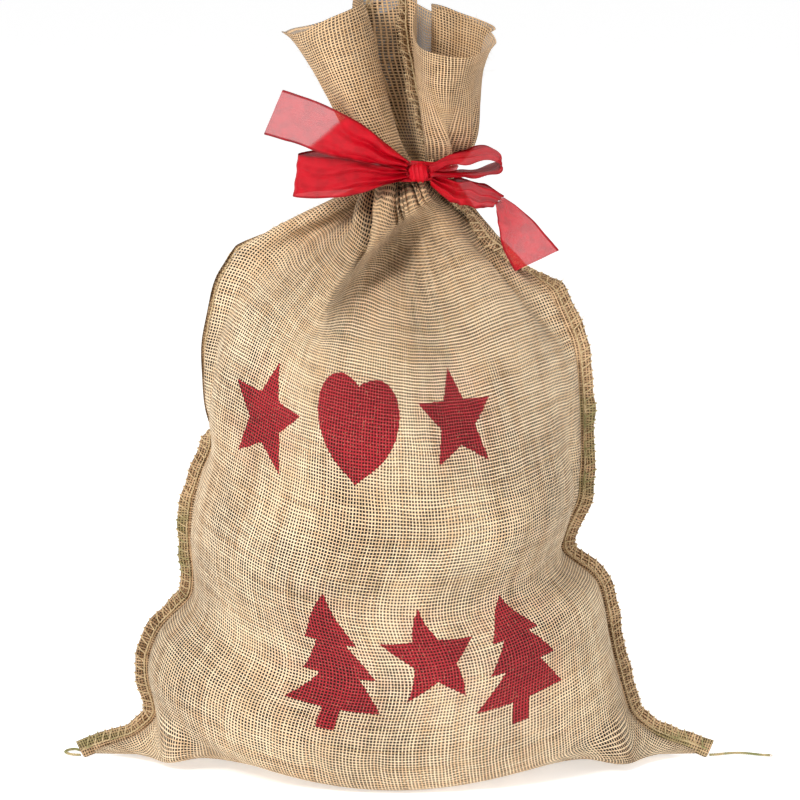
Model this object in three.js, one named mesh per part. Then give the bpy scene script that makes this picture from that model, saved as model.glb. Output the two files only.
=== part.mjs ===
// Fabric gift sack: a stuffed hessian sack with overlocked side seams, its mouth gathered and tied
// with an organza ribbon bow. Millimetres, +Z up, the printed front faces -Y.
// The origin lies on the floor under the middle of the sack.
import * as THREE from 'three';

// ---- driving dimensions ----
const CORNER_REACH = 250; // half of the sack's 500 mm flat width: the bottom corners lie this far out
const HALF_DEPTH = 138; // half of the stuffed sack's depth at its fullest
const CLOTH = 1.5; // hessian wall, with the fuzz of its weave
const SEAM_WIDTH = 11; // overlocked allowance that stands off each side seam
const SEAM_THICKNESS = 2.4; // two cloth edges wrapped in thread
const SEAM_STANDOFF = 2.6; // from the side of the sack to the root of its seam allowance
const TIE = new THREE.Vector3(18, 0, 475); // middle of the tied neck
const NECK_RADIUS = 27; // gathered cloth under the ribbon
const NECK_CORE = 15; // what stays open in the middle of the gathers
const GATHER_HALF_HEIGHT = 6;
const GATHER_FLUTES = 16; // folds of the gathered neck
const FLUTE_DEPTH = 1.2;
const BAND_INNER = 29.3;
const BAND_OUTER = 31;
const BAND_HALF_HEIGHT = 8;
const RUFFLE_START = 16; // height above the tie where the mouth's ruffle begins to lean freely
const KNOT = new THREE.Vector3(18, -37, 475);
const KNOT_HALF = new THREE.Vector3(9.5, 5, 8.5);
const RIBBON_THICKNESS = 0.8;
const THREAD_DIAMETER = 2.4; // overlock thread chain

const AROUND = 56; // points round the sack and the ruffle

// ---- materials ----
const hessian = new THREE.MeshStandardMaterial({ color: 0xc9a877, roughness: 0.95, metalness: 0 });
const seamThread = new THREE.MeshStandardMaterial({ color: 0xb08a5c, roughness: 0.9, metalness: 0 });
const organza = new THREE.MeshStandardMaterial({ color: 0xd00a2a, roughness: 0.45, metalness: 0 });

const vec = (x, y, z) => new THREE.Vector3(x, y, z);

// ---- solids from rings of points ----

// Indexed triangles between neighbouring rings. Open ends are closed with a fan round their middle;
// with wrap, the last ring joins the first instead.
function loft(rings, wrap = false) {
  const count = rings[0].length;
  const points = rings.flat();
  const triangles = [];
  const joins = wrap ? rings.length : rings.length - 1;
  for (let i = 0; i < joins; i += 1) {
    const low = i * count;
    const high = ((i + 1) % rings.length) * count;
    for (let k = 0; k < count; k += 1) {
      const next = (k + 1) % count;
      triangles.push(low + k, low + next, high + next, low + k, high + next, high + k);
    }
  }
  if (!wrap) {
    const last = (rings.length - 1) * count;
    const first = points.push(middle(rings[0])) - 1;
    const end = points.push(middle(rings[rings.length - 1])) - 1;
    for (let k = 0; k < count; k += 1) {
      const next = (k + 1) % count;
      triangles.push(first, next, k, end, last + k, last + next);
    }
  }
  return solid(points, triangles);
}

function middle(ring) {
  const sum = ring.reduce((total, point) => total.add(point), vec(0, 0, 0));
  return sum.divideScalar(ring.length);
}

// A closed BufferGeometry whose faces point outwards, whichever way its triangles were listed.
function solid(points, triangles) {
  let volume = 0;
  for (let i = 0; i < triangles.length; i += 3) {
    const [a, b, c] = [points[triangles[i]], points[triangles[i + 1]], points[triangles[i + 2]]];
    volume += a.dot(vec(0, 0, 0).crossVectors(b, c));
  }
  const geometry = new THREE.BufferGeometry().setFromPoints(points);
  geometry.setIndex(volume > 0 ? triangles : triangles.toReversed());
  geometry.computeVertexNormals();
  return geometry;
}

// The same rings moved inwards by a distance along their surface's normals.
function insetRings(rings, distance) {
  const count = rings[0].length;
  return rings.map((ring, i) => {
    const below = rings[Math.max(i - 1, 0)];
    const above = rings[Math.min(i + 1, rings.length - 1)];
    return ring.map((point, k) => {
      const along = vec(0, 0, 0).subVectors(above[k], below[k]);
      const around = vec(0, 0, 0).subVectors(ring[(k + 1) % count], ring[(k + count - 1) % count]);
      const outward = around.cross(along).normalize();
      return point.clone().addScaledVector(outward, -distance);
    });
  });
}

// A flat strip: a four-cornered section at each sample of a centre line, with its half-width as a
// vector that varies along the line.
function strip(centres, halfWidths, thickness, samples) {
  const line = new THREE.CatmullRomCurve3(centres, false, 'centripetal');
  const across = new THREE.CatmullRomCurve3(halfWidths, false, 'catmullrom', 0.5);
  const rings = [];
  for (let i = 0; i <= samples; i += 1) {
    const t = i / samples;
    const centre = line.getPoint(t);
    const half = across.getPoint(t);
    const through = line.getTangent(t).cross(half).setLength(thickness / 2);
    rings.push([
      centre.clone().add(half).add(through),
      centre.clone().sub(half).add(through),
      centre.clone().sub(half).sub(through),
      centre.clone().add(half).sub(through),
    ]);
  }
  return loft(rings);
}

// ---- the sack below the tie ----

// Height, left side, right side, half depth and side sharpness of the stuffed sack, from the floor
// to the neck. A sharpness of 0.5 is an ellipse; above 1 the sides run out into pointed corners.
const SACK_STATIONS = [
  [0, -243, 243, 84, 1.6],
  [3, -CORNER_REACH, CORNER_REACH, 90, 1.6],
  [9, -236, 236, 97, 1.4],
  [18, -206, 208, 103, 1.0],
  [36, -186, 186, 110, 0.7],
  [58, -194, 180, 114, 0.55],
  [80, -197, 174, 118, 0.5],
  [108, -186, 168, 123, 0.5],
  [134, -158, 164, 127, 0.5],
  [150, -158, 158, 129, 0.5],
  [170, -160, 128, 132, 0.5],
  [186, -161, 132, 134, 0.5],
  [212, -158, 145, 136, 0.5],
  [240, -148, 146, HALF_DEPTH, 0.5],
  [259, -139, 146, HALF_DEPTH, 0.5],
  [285, -148, 145, HALF_DEPTH, 0.5],
  [335, -150, 141, 135, 0.5],
  [387, -139, 118, 118, 0.5],
  [420, -117, 90, 95, 0.5],
  [440, -92, 70, 72, 0.5],
  [450, -66, 58, 54, 0.5],
  [454, -38, 53, 42, 0.5],
  [458, -12, 48, 30, 0.5],];
const OPEN_FROM = 4; // the first station whose inside follows its outside
const NECK_BLEND_FROM = 380; // above this height the sections slide over towards the neck's middle

function sackSection([height, left, right, halfDepth, sharpness]) {
  const slide = THREE.MathUtils.smoothstep(height, NECK_BLEND_FROM, TIE.z - RUFFLE_START);
  const centre = TIE.x * slide;
  const ring = [];
  for (let k = 0; k < AROUND; k += 1) {
    const angle = (k / AROUND) * 2 * Math.PI;
    const side = Math.cos(angle);
    const reach = side > 0 ? right - centre : centre - left;
    const depth = halfDepth * Math.sign(Math.sin(angle)) * Math.abs(Math.sin(angle)) ** (2 * sharpness);
    ring.push(vec(centre + reach * side, depth, height));
  }
  return ring;
}

// The stuffed cloth as one open-necked shell: solid only in its base and in its flattened corners.
function sackCloth() {
  const outside = SACK_STATIONS.map(sackSection);
  const inside = insetRings(outside.slice(OPEN_FROM - 1), CLOTH).slice(1);
  const floorShapes = [
    { height: 14, wide: 0.94, deep: 0.88 },
    { height: CLOTH, wide: 0.88, deep: 0.72 },
  ];
  const insideFloor = floorShapes.map(({ height, wide, deep }) => (
    inside[0].map((point) => vec(point.x * wide, point.y * deep, height))
  ));
  return loft([...outside, ...inside.toReversed(), ...insideFloor]);
}

// The overlocked allowance of one side: a fin that follows the sack's side from corner to neck.
function sideSeam(side) {
  const profile = SACK_STATIONS.slice(1, -3).map(([height, left, right]) => (
    vec(side < 0 ? left : right, 0, height)
  ));
  const line = new THREE.CatmullRomCurve3(profile, false, 'centripetal');
  const samples = 44;
  const rings = [];
  for (let i = 0; i <= samples; i += 1) {
    const t = THREE.MathUtils.lerp(0.012, 0.985, i / samples);
    const along = line.getTangent(t);
    const outward = vec(side * along.z, 0, -side * along.x).normalize();
    const root = line.getPoint(t).addScaledVector(outward, SEAM_STANDOFF);
    const edge = root.clone().addScaledVector(outward, SEAM_WIDTH);
    const half = SEAM_THICKNESS / 2;
    rings.push([vec(root.x, -half, root.z), vec(edge.x, -half, edge.z),
      vec(edge.x, half, edge.z), vec(root.x, half, root.z)]);
  }
  return loft(rings);
}

// ---- the tied neck ----

function circleAtTie(radiusAt, height) {
  const ring = [];
  for (let k = 0; k < AROUND; k += 1) {
    const angle = (k / AROUND) * 2 * Math.PI;
    const radius = radiusAt(angle);
    ring.push(vec(TIE.x + radius * Math.cos(angle), radius * Math.sin(angle), TIE.z + height));
  }
  return ring;
}

function tieRing(innerAt, outerAt, halfHeight) {
  return loft([
    circleAtTie(outerAt, -halfHeight),
    circleAtTie(outerAt, halfHeight),
    circleAtTie(innerAt, halfHeight),
    circleAtTie(innerAt, -halfHeight),
  ], true);
}

function neckGather() {
  const fluted = (angle) => NECK_RADIUS + FLUTE_DEPTH * Math.cos(GATHER_FLUTES * angle);
  return tieRing(() => NECK_CORE, fluted, GATHER_HALF_HEIGHT);
}

function neckBand() {
  return tieRing(() => BAND_INNER, () => BAND_OUTER, BAND_HALF_HEIGHT);
}

// ---- the ruffle above the tie ----

// The mouth's edge seen from above, relative to the tie, and its height above the tie, clockwise
// from the seam in the front valley: left lobe, back, right lobe.
const MOUTH_EDGE = [
  vec(-10, -8, 132),
  vec(-44, -33, 122),
  vec(-84, -30, 104),
  vec(-103, -6, 106),
  vec(-76, 18, 117),
  vec(-38, 32, 126),
  vec(0, 42, 128),
  vec(34, 40, 122),
  vec(58, 22, 106),
  vec(62, -8, 88),
  vec(46, -34, 82),
  vec(16, -38, 82),
  vec(2, -22, 104),
];
const RUFFLE_ROWS = 9;
const BACK_SEAM_AT = 0.5; // how far round from the front seam the other side seam comes up

function rufflePoint(mouth, around, rise) {
  const angle = around * 2 * Math.PI;
  const foot = vec(-NECK_RADIUS * Math.sin(angle), -NECK_RADIUS * Math.cos(angle), RUFFLE_START);
  const edge = mouth.getPoint(around);
  const lean = rise ** 1.25; // the folds stand up from the tie before they spread
  return vec(
    TIE.x + THREE.MathUtils.lerp(foot.x, edge.x, lean),
    THREE.MathUtils.lerp(foot.y, edge.y, lean),
    TIE.z + THREE.MathUtils.lerp(foot.z, edge.z, rise),
  );
}

function mouthCurve() {
  return new THREE.CatmullRomCurve3(MOUTH_EDGE, true, 'centripetal');
}

function mouthRuffle() {
  const mouth = mouthCurve();
  const outside = [];
  for (let row = 0; row <= RUFFLE_ROWS; row += 1) {
    const ring = [];
    for (let k = 0; k < AROUND; k += 1) {
      ring.push(rufflePoint(mouth, 1 - k / AROUND, row / RUFFLE_ROWS));
    }
    outside.push(ring);
  }
  return loft([...outside, ...insetRings(outside, CLOTH).toReversed()], true);
}

// A side seam's allowance above the tie: a fin standing off the ruffle, from above the ribbon to
// the mouth's edge. Outward is -1 for the front valley and 1 for the back.
function mouthSeam(around, outward) {
  const mouth = mouthCurve();
  const rings = [];
  const samples = 10;
  for (let i = 0; i <= samples; i += 1) {
    const rise = THREE.MathUtils.lerp(0.12, 0.99, i / samples);
    const foot = rufflePoint(mouth, around, rise);
    const root = foot.y + outward * SEAM_STANDOFF;
    const edge = root + outward * SEAM_WIDTH;
    const half = SEAM_THICKNESS / 2;
    rings.push([vec(foot.x - half, root, foot.z), vec(foot.x + half, root, foot.z),
      vec(foot.x + half, edge, foot.z), vec(foot.x - half, edge, foot.z)]);
  }
  return loft(rings);
}

// ---- the ribbon bow ----

function bowKnot() {
  const rings = [];
  const rows = 10;
  const sides = 20;
  for (let row = 1; row < rows; row += 1) {
    const tilt = (row / rows) * Math.PI;
    const ring = [];
    for (let k = 0; k < sides; k += 1) {
      const angle = (k / sides) * 2 * Math.PI;
      ring.push(vec(
        KNOT.x + KNOT_HALF.x * -Math.cos(tilt),
        KNOT.y + KNOT_HALF.y * Math.sin(tilt) * Math.cos(angle),
        KNOT.z + KNOT_HALF.z * Math.sin(tilt) * Math.sin(angle),
      ));
    }
    rings.push(ring);
  }
  return loft(rings);
}

// The left loop lies flat against the sack's front: its two layers are one behind the other.
function leftLoop() {
  const centres = [vec(7.6, -35.6, 473), vec(-18, -34, 473), vec(-52, -34, 474), vec(-70, -35, 474.5),
    vec(-75, -40, 474.5), vec(-70, -46, 474.5), vec(-52, -49, 474), vec(-18, -46, 473),
    vec(7.2, -39.6, 473)];
  const halves = [4.5, 8.5, 12.5, 13, 13, 13, 12.5, 8.5, 4.5];
  return strip(centres, halves.map((half) => vec(0, 0, half)), RIBBON_THICKNESS, 36);
}

// The right loop stands on its edge: its two layers are one above the other, with an eye between.
function rightLoop() {
  const centres = [vec(28.6, -38, 478.4), vec(46, -39, 486), vec(64, -40, 491), vec(76, -40, 489),
    vec(80, -40, 484), vec(76, -40, 479), vec(64, -40, 477), vec(46, -39, 475.6),
    vec(28.6, -38, 474.6)];
  const halves = [4.5, 8, 12, 13, 13, 13, 12, 8, 4.5];
  return strip(centres, halves.map((half) => vec(0, half, 0)), RIBBON_THICKNESS, 36);
}

function leftTail() {
  const centres = [vec(7, -39, 484.5), vec(-16, -46, 497), vec(-52, -54, 510.5), vec(-90, -57, 524)];
  const halves = [4, 10, 17, 18];
  return strip(centres, halves.map((half) => vec(0.38 * half, 0, 0.92 * half)), RIBBON_THICKNESS, 14);
}

function rightTailUpper() {
  const centres = [vec(28, -39, 468.5), vec(44, -43, 464), vec(62, -46, 460), vec(76, -47, 457.5)];
  const across = [vec(0, 2.6, 2.2), vec(0.6, 5.2, 4.4), vec(1, 7.4, 6.2), vec(2, 7.6, 6.6)];
  return strip(centres, across, RIBBON_THICKNESS, 10);
}

function rightTailLower() {
  const centres = [vec(84, -52, 450), vec(89, -58, 441), vec(97, -65, 429), vec(106, -70, 415)];
  const across = [vec(5, -3, 4.4), vec(9.6, -1, 5.4), vec(13, 0, 6.4), vec(13.6, 0, 7)];
  return strip(centres, across, RIBBON_THICKNESS, 12);
}

// ---- loose ends of overlock thread, as round tubes ----

function threadTail(route) {
  const radius = THREAD_DIAMETER / 2;
  const sides = 8;
  const section = new THREE.Shape();
  for (let k = 0; k < sides; k += 1) {
    const angle = (k / sides) * 2 * Math.PI;
    const corner = [radius * Math.cos(angle), radius * Math.sin(angle)];
    if (k === 0) {
      section.moveTo(...corner);
    } else {
      section.lineTo(...corner);
    }
  }
  section.closePath();
  const path = new THREE.CatmullRomCurve3(route, false, 'centripetal');
  const steps = Math.round(path.getLength() / (2.2 * THREAD_DIAMETER));
  return new THREE.ExtrudeGeometry(section, { steps, extrudePath: path, bevelEnabled: false });
}

const RIGHT_CORNER_TAIL = [vec(251, 0, 1.7), vec(258, 2, 1.5), vec(266, 5, 1.4), vec(275, 6, 1.4),
  vec(284, 4, 1.4), vec(292, 1, 1.4), vec(299, 0, 1.4)];
const LEFT_CORNER_TAIL = [vec(-251, 0, 1.7), vec(-256, 1, 1.5), vec(-261, 4, 1.4), vec(-264, 9, 1.4),
  vec(-262, 14, 1.4), vec(-257, 16, 1.4), vec(-253, 13, 1.4)];
const MOUTH_TAIL = [vec(8, -9, 609), vec(4, -10, 614), vec(-2, -11, 618), vec(-8, -12, 620),
  vec(-13, -14, 617), vec(-17, -16, 611), vec(-19, -17, 604)];

// ---- assembly ----

const sack = new THREE.Group();

function add(name, geometry, material) {
  const mesh = new THREE.Mesh(geometry, material);
  mesh.name = name;
  sack.add(mesh);
}

add('sack_cloth', sackCloth(), hessian);
add('left_side_seam', sideSeam(-1), seamThread);
add('right_side_seam', sideSeam(1), seamThread);
add('neck_gather', neckGather(), hessian);
add('mouth_ruffle', mouthRuffle(), hessian);
add('right_seam_above_tie', mouthSeam(0, -1), seamThread);
add('left_seam_above_tie', mouthSeam(BACK_SEAM_AT, 1), seamThread);
add('neck_band', neckBand(), organza);
add('bow_knot', bowKnot(), organza);
add('left_loop', leftLoop(), organza);
add('right_loop', rightLoop(), organza);
add('left_tail', leftTail(), organza);
add('right_tail_upper', rightTailUpper(), organza);
add('right_tail_lower', rightTailLower(), organza);
add('left_corner_thread_tail', threadTail(LEFT_CORNER_TAIL), seamThread);
add('right_corner_thread_tail', threadTail(RIGHT_CORNER_TAIL), seamThread);
add('mouth_thread_tail', threadTail(MOUTH_TAIL), seamThread);

export default sack;
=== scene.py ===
"""A stuffed hessian gift sack, gathered at its neck by an organza bow."""

import math

import bpy
import numpy as np
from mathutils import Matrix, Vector


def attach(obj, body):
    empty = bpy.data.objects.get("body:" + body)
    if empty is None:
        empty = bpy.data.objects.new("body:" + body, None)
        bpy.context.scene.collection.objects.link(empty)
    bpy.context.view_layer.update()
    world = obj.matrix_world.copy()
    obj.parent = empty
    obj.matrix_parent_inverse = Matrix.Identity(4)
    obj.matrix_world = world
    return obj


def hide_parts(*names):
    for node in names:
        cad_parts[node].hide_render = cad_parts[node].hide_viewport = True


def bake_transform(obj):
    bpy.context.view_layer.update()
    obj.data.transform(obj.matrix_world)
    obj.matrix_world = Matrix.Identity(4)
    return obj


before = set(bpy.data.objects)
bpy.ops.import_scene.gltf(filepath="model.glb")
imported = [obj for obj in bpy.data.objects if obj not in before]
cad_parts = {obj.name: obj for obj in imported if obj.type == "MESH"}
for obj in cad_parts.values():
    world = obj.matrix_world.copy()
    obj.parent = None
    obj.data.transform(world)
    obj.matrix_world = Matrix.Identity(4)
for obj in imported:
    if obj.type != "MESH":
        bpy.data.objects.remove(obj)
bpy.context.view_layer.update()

MM = 0.001
TAU = 2 * math.pi
rng = np.random.default_rng(7)

# ---- camera ----
AIM = Vector((0.0039, 0.0, 0.2911))
CAMERA_DISTANCE = 2.6
CAMERA_RISE = math.radians(12)
VIEW_WIDTH = 0.624  # what the frame spans at the sack
SENSOR_WIDTH = 36


def link(item):
    bpy.context.scene.collection.objects.link(item)


def make_camera():
    data = bpy.data.cameras.new("camera")
    data.sensor_width = SENSOR_WIDTH
    data.lens = SENSOR_WIDTH * CAMERA_DISTANCE / VIEW_WIDTH
    camera = bpy.data.objects.new("camera", data)
    back = Vector((0, -math.cos(CAMERA_RISE), math.sin(CAMERA_RISE)))
    camera.location = AIM + back * CAMERA_DISTANCE
    camera.rotation_euler = (-back).to_track_quat("-Z", "Y").to_euler()
    link(camera)
    bpy.context.scene.camera = camera


# ---- meshes from arrays ----
PATTERN = "pattern"  # UV map: metres on the flat cloth


def add_object(name, points, faces, material=None, corners=None):
    """points in metres; corners are UV coordinates for each face corner, in order."""
    mesh = bpy.data.meshes.new(name)
    mesh.from_pydata(np.asarray(points, float).reshape(-1, 3).tolist(), [], faces)
    if corners is not None:
        layer = mesh.uv_layers.new(name=PATTERN)
        layer.data.foreach_set("uv", np.asarray(corners, np.float32).ravel())
    mesh.update()
    mesh.shade_smooth()
    piece = bpy.data.objects.new(name, mesh)
    link(piece)
    if material:
        mesh.materials.append(material)
    return piece


def square(name, half, material=None):
    """A level square on the floor."""
    corners = [(-half, -half, 0), (half, -half, 0), (half, half, 0), (-half, half, 0)]
    return add_object(name, corners, [(0, 1, 2, 3)], material)


def grid_object(name, grid, u, v, material, wrap=False):
    """grid[row, column] of points; u and v are the flat cloth's coordinates of columns and rows."""
    rows, columns = grid.shape[:2]
    faces, corners = [], []
    for row in range(rows - 1):
        for column in range(columns if wrap else columns - 1):
            after = (column + 1) % columns
            faces.append((row * columns + column, row * columns + after,
                          (row + 1) * columns + after, (row + 1) * columns + column))
            corners += [(u[column], v[row]), (u[column + 1], v[row]),
                        (u[column + 1], v[row + 1]), (u[column], v[row + 1])]
    return add_object(name, grid, faces, material, corners)


def refined(grid, wrap):
    """The grid with points halfway between its rows, on smooth curves through the rows."""
    if wrap:
        padded = np.concatenate([grid[-1:], grid, grid[:2]])
    else:
        padded = np.concatenate([2 * grid[:1] - grid[1:2], grid, 2 * grid[-1:] - grid[-2:-1]])
    between = (9 * (padded[1:-2] + padded[2:-1]) - padded[:-3] - padded[3:]) / 16
    finer = np.empty((len(grid) + len(between),) + grid.shape[1:])
    finer[0::2], finer[1::2] = grid, between
    return finer


def subdivide(piece, levels):
    modifier = piece.modifiers.new("subdivide", "SUBSURF")
    modifier.levels = modifier.render_levels = levels


def thicken(piece, thickness, offset=-1.0):
    modifier = piece.modifiers.new("thicken", "SOLIDIFY")
    modifier.thickness, modifier.offset = thickness, offset


def arc(points):
    steps = np.linalg.norm(np.diff(points, axis=0), axis=1)
    return np.concatenate([[0], np.cumsum(steps)])


def read_off(values, places, wanted):
    """The rows of values, which stand at places, read off at the wanted places."""
    return np.stack([np.interp(wanted, places, axis) for axis in values.T], axis=1)


def resample(points, count):
    points = np.asarray(points, float)
    along = arc(points)
    return read_off(points, along, np.linspace(0, along[-1], count))


def catmull_rom(points, steps=40):
    points = np.asarray(points, float)
    ends = np.vstack([2 * points[0] - points[1], points, 2 * points[-1] - points[-2]])
    t = np.linspace(0, 1, steps, endpoint=False)[:, None]
    spans = []
    for a, b, c, d in zip(ends, ends[1:], ends[2:], ends[3:]):
        spans.append(0.5 * (2 * b + (c - a) * t + (2 * a - 5 * b + 4 * c - d) * t ** 2
                            + (3 * b - a - 3 * c + d) * t ** 3))
    return np.vstack(spans + [points[-1:]])


def unit(vectors):
    return vectors / np.maximum(np.linalg.norm(vectors, axis=-1, keepdims=True), 1e-12)


def tubes(name, paths, radius, sides, material, taper=False):
    """paths[k, i] are polylines of one length each; radius may differ for each of them."""
    paths = np.asarray(paths, float)
    count, length = paths.shape[:2]
    along = unit(np.gradient(paths, axis=1))
    helper = np.where(np.abs(along[..., 2:]) > 0.9, [1.0, 0, 0], [0, 0, 1.0])
    side = unit(np.cross(along, helper))
    up = np.cross(side, along)
    angle = np.arange(sides) * TAU / sides
    ring = (np.cos(angle)[:, None] * side[:, :, None] + np.sin(angle)[:, None] * up[:, :, None])
    thickness = np.broadcast_to(np.asarray(radius, float).reshape(-1, 1), (count, length))
    if taper:
        thickness = thickness * np.linspace(1, 0.45, length)
    points = paths[:, :, None] + ring * thickness[:, :, None, None]
    base = np.arange(count)[:, None, None] * length * sides
    row = np.arange(length - 1)[:, None] * sides
    turn = np.arange(sides)
    after = (turn + 1) % sides
    quads = np.stack([base + row + turn, base + row + after,
                      base + row + sides + after, base + row + sides + turn], axis=-1)
    return add_object(name, points, quads.reshape(-1, 4).tolist(), material)


# ---- shader wiring ----
def operator(name):
    return lambda wire, other: wire.math(name, other)


class Wire:
    """A shader value that plain arithmetic can be written with."""

    def __init__(self, tree, socket):
        self.tree, self.socket = tree, socket

    def math(self, operation, *others):
        node = self.tree.nodes.new("ShaderNodeMath")
        node.operation = operation
        for value, socket in zip((self, *others), node.inputs):
            plug(value, socket)
        return Wire(self.tree, node.outputs[0])

    __add__, __sub__ = operator("ADD"), operator("SUBTRACT")
    __mul__, __truediv__ = operator("MULTIPLY"), operator("DIVIDE")
    below, above = operator("LESS_THAN"), operator("GREATER_THAN")

    def ramp(self, low, high, start=0.0, end=1.0):
        """start at low, end at high, smooth between them."""
        node = self.tree.nodes.new("ShaderNodeMapRange")
        node.interpolation_type = "SMOOTHSTEP"
        for value, socket in zip((self, low, high, start, end), node.inputs):
            plug(value, socket)
        return Wire(self.tree, node.outputs[0])


def plug(value, socket):
    if isinstance(value, Wire):
        value.tree.links.new(value.socket, socket)
    else:
        socket.default_value = value


def new_material(name, **constants):
    """A principled material; constants are set on the shader's own sockets."""
    material = bpy.data.materials.new(name)
    material.use_nodes = True
    shader = material.node_tree.nodes["Principled BSDF"]
    for key, value in constants.items():
        shader.inputs[key.replace("_", " ")].default_value = value
    return material, material.node_tree, shader


def pattern_axes(tree):
    uv = tree.nodes.new("ShaderNodeUVMap")
    uv.uv_map = PATTERN
    split = tree.nodes.new("ShaderNodeSeparateXYZ")
    tree.links.new(uv.outputs[0], split.inputs[0])
    return Wire(tree, split.outputs[0]), Wire(tree, split.outputs[1])


def object_axes(tree):
    place = tree.nodes.new("ShaderNodeTexCoord")
    split = tree.nodes.new("ShaderNodeSeparateXYZ")
    tree.links.new(place.outputs["Object"], split.inputs[0])
    return [Wire(tree, split.outputs[k]) for k in range(3)]


def noise(x, y, z=0.0, scale=1.0, detail=1.0):
    tree = x.tree
    join = tree.nodes.new("ShaderNodeCombineXYZ")
    for value, socket in zip((x, y, z), join.inputs):
        plug(value, socket)
    node = tree.nodes.new("ShaderNodeTexNoise")
    node.inputs["Scale"].default_value = scale
    node.inputs["Detail"].default_value = detail
    tree.links.new(join.outputs[0], node.inputs["Vector"])
    return Wire(tree, node.outputs["Fac"])


def away_from(u, v, centre_u, centre_v):
    return ((u - centre_u).math("POWER", 2.0) + (v - centre_v).math("POWER", 2.0)).math("SQRT")


def mix(factor, first, second):
    """The colour first where factor is 0, second where it is 1."""
    tree = factor.tree
    node = tree.nodes.new("ShaderNodeMix")
    node.data_type = "RGBA"
    plug(factor, node.inputs["Factor"])
    for value, socket in ((first, node.inputs["A"]), (second, node.inputs["B"])):
        pick = [s for s in node.inputs if s.name == socket.name and s.type == "RGBA"][0]
        plug(value if isinstance(value, Wire) else (*value, 1.0), pick)
    out = [s for s in node.outputs if s.type == "RGBA"][0]
    return Wire(tree, out)


def bump(height, shader, distance, strength):
    node = height.tree.nodes.new("ShaderNodeBump")
    node.inputs["Distance"].default_value = distance
    node.inputs["Strength"].default_value = strength
    plug(height, node.inputs["Height"])
    height.tree.links.new(node.outputs[0], shader.inputs["Normal"])


# ---- hessian ----
WARP_PITCH = 2.75 * MM
WEFT_PITCH = 2.5 * MM
STRAW_PALE = (0.94, 0.74, 0.50)
STRAW_MID = (0.74, 0.50, 0.29)
STRAW_DARK = (0.25, 0.135, 0.06)
# The neck's tan is partly the cloth's warmer colour there and partly painted shade of the gathered neck.
NECK_TAN_AND_SHADE = (0.64, 0.375, 0.17)
# The colour of the weave's holes is painted shade: the dark inside of the sack, seen through the gaps
# between threads.
HOLE_SHADE = (0.006, 0.004, 0.003)
PRINT_RED = (0.40, 0.006, 0.020)
BLEED_PINK = (0.90, 0.42, 0.33)
OLIVE = (0.20, 0.21, 0.075)


def dye_runs(x, z):
    """1 where the green dye of the seam thread has run: along part of each side, and at the corners."""
    right = x.above(0.0) * z.ramp(0.20, 0.23) * z.ramp(0.31, 0.28)
    left = x.below(0.0) * z.ramp(0.12, 0.15) * z.ramp(0.22, 0.19)
    return right + left + z.ramp(0.03, 0.015)


def plain_weave(u, v):
    """Threads over and under each other: how covered, how high and how pale the cloth is."""
    drift_u = noise(u, v, 0.3, scale=26, detail=2) - 0.5
    drift_v = noise(u, v, 7.7, scale=26, detail=2) - 0.5
    across = u / WARP_PITCH + drift_u * 1.6
    along = v / WEFT_PITCH + drift_v * 1.6
    warp, weft = across.math("FLOOR"), along.math("FLOOR")
    from_warp = (across - warp - 0.5).math("ABSOLUTE")
    from_weft = (along - weft - 0.5).math("ABSOLUTE")
    looseness = noise(u, v, 3.1, scale=9, detail=2).ramp(0.35, 0.65, 0.035, -0.03)
    warp_slub = noise(warp * 0.731, v * 55, 1.3, detail=2)
    weft_slub = noise(weft * 0.613, u * 55, 4.9, detail=2)
    warp_half = warp_slub * 0.28 + 0.07 + looseness
    weft_half = weft_slub * 0.29 + 0.065 + looseness
    turn = (warp + weft).math("FLOORED_MODULO", 2.0) * 2.0 - 1.0

    def strand(off_middle, half, along_it, swing):
        """The height of a round thread that dips under every second one it crosses."""
        section = (off_middle / half).math("POWER", 2.0) * -1.0 + 1.0
        wave_up = (along_it * math.pi).math("COSINE") * turn
        return section.math("MAXIMUM", 0.0).math("SQRT") * (wave_up * swing + 0.7)

    warp_height = strand(from_warp, warp_half, from_weft, 0.3)
    weft_height = strand(from_weft, weft_half, from_warp, -0.3)
    height = warp_height.math("MAXIMUM", weft_height)
    cover = height.ramp(0.02, 0.25)
    warp_on_top = warp_height.above(weft_height)
    warp_tone = noise(warp * 0.37, v * 9, 2.2, detail=3)
    weft_tone = noise(weft * 0.41, u * 9, 8.8, detail=3)
    tone = weft_tone + (warp_tone - weft_tone) * warp_on_top
    fibre = noise(u, v, 5.5, scale=1900, detail=2)
    return cover, height, tone + (fibre - 0.5) * 0.35


def star(x, y, size):
    """1 inside a five-pointed star of that radius."""
    fifth = math.pi / 5
    waist = 0.45 * size
    angle = x.math("ARCTAN2", y).math("PINGPONG", fifth)
    radius = (x * x + y * y).math("SQRT")
    edge = ((radius * angle.math("COSINE") - size) * (waist * math.sin(fifth))
            + radius * angle.math("SINE") * (size - waist * math.cos(fifth)))
    return edge.below(0.0)


def heart(x, y, size):
    """1 inside a heart about two sizes wide."""
    a, b = x / size, y / size + 0.1
    ring = a * a + b * b - 1.0
    return (ring * ring * ring - a * a * b * b * b).below(0.0)


def fir(x, y, size):
    """1 inside a fir tree of three tiers and a trunk, about two sizes high."""
    wide = x.math("ABSOLUTE")
    inside = wide.below(0.14 * size) * y.above(-size) * y.below(-0.5 * size)
    for top, foot, half in ((1.0, 0.3, 0.42), (0.62, -0.18, 0.58), (0.18, -0.68, 0.74)):
        slope = half / (top - foot)
        tier = wide.below((y * -slope) + top * size * slope) * y.above(foot * size)
        inside = inside.math("MAXIMUM", tier)
    return inside


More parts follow.
